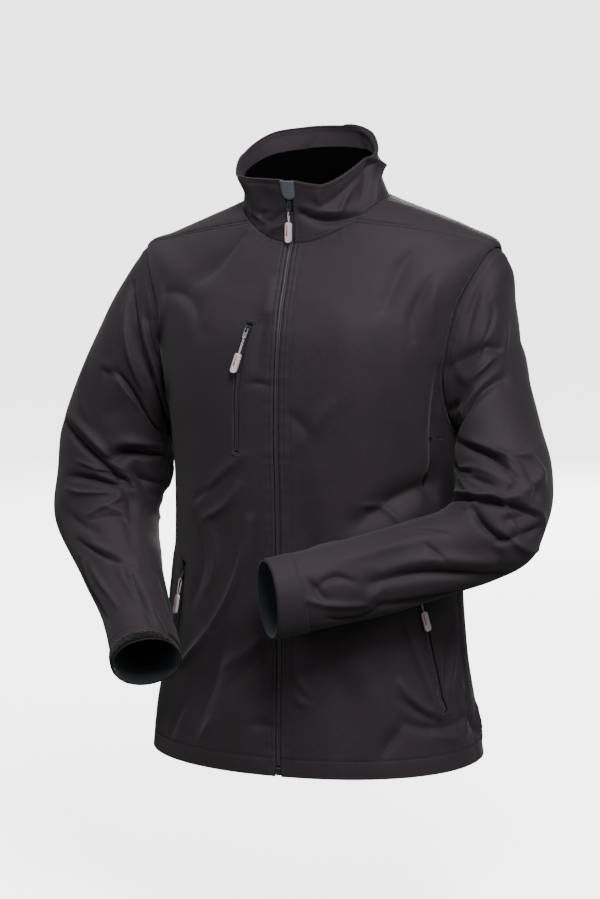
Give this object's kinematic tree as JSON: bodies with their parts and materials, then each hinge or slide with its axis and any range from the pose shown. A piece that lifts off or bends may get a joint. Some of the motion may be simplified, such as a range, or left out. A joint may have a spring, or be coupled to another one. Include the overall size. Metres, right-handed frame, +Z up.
{
  "type": "softshell jacket",
  "caption": "Men's dark charcoal softshell jacket with a stand collar, full front zip, zipped chest and hand pockets and cuff tabs, filled out as worn",
  "frame": {"origin": "between the shoulders at the height of the side neck points, on the body's middle", "axes": "+Z up to the collar, front zip towards -Y, +X towards the wearer's left arm"},
  "size_m": [0.6868, 0.4083, 0.7973],
  "materials": {
    "shell": "matte woven polyester, bonded to fleece",
    "zip_tape": "coil zip with coated tape",
    "hook_and_loop": "looped pile",
    "chin_guard": "brushed knit",
    "slider": "dark nickel",
    "pull_tab": "nickel",
    "pull_cord": "braided polyester",
    "pull_grip": "moulded, satin"
  },
  "bodies": {
    "jacket": {"front_left": "shell", "front_right": "shell", "back": "shell", "collar": "shell", "sleeve_left": "shell", "sleeve_right": "shell", "cuff_tab_left": "shell", "cuff_loop_left": "hook_and_loop", "cuff_tab_right": "shell", "cuff_loop_right": "hook_and_loop", "zip_main": "zip_tape", "chin_guard": "chin_guard", "chest_pocket_zip": "zip_tape", "hand_pocket_right_zip": "zip_tape", "hand_pocket_left_zip": "zip_tape", "main_slider": "slider", "chest_pocket_slider": "slider", "hand_pocket_right_slider": "slider", "hand_pocket_left_slider": "slider"},
    "main_pull": {"main_tab": "pull_tab", "main_cord": "pull_cord", "main_grip": "pull_grip"},
    "chest_pocket_pull": {"chest_pocket_tab": "pull_tab", "chest_pocket_cord": "pull_cord", "chest_pocket_grip": "pull_grip"},
    "hand_pocket_right_pull": {"hand_pocket_right_tab": "pull_tab", "hand_pocket_right_cord": "pull_cord", "hand_pocket_right_grip": "pull_grip"},
    "hand_pocket_left_pull": {"hand_pocket_left_tab": "pull_tab", "hand_pocket_left_cord": "pull_cord", "hand_pocket_left_grip": "pull_grip"}
  },
  "joints": [
    {"name": "main_pull_swing", "type": "hinge", "parent": "jacket", "child": "main_pull", "pos_m": [-0.00248, -0.08836, -0.0024], "axis": [-0.9903, 0.1348, -0.0346], "range_deg": [0, 100]},
    {"name": "chest_pocket_pull_swing", "type": "hinge", "parent": "jacket", "child": "chest_pocket_pull", "pos_m": [-0.03973, -0.13929, -0.1507], "axis": [-0.9659, 0.1574, 0.2055], "range_deg": [0, 100]},
    {"name": "hand_pocket_right_pull_swing", "type": "hinge", "parent": "jacket", "child": "hand_pocket_right_pull", "pos_m": [-0.15149, -0.09983, -0.46776], "axis": [-0.7073, 0.6965, 0.121], "range_deg": [0, 7]},
    {"name": "hand_pocket_left_pull_swing", "type": "hinge", "parent": "jacket", "child": "hand_pocket_left_pull", "pos_m": [0.15684, -0.07747, -0.47388], "axis": [-0.6648, -0.7212, -0.1946], "range_deg": [0, 60]}
  ]
}
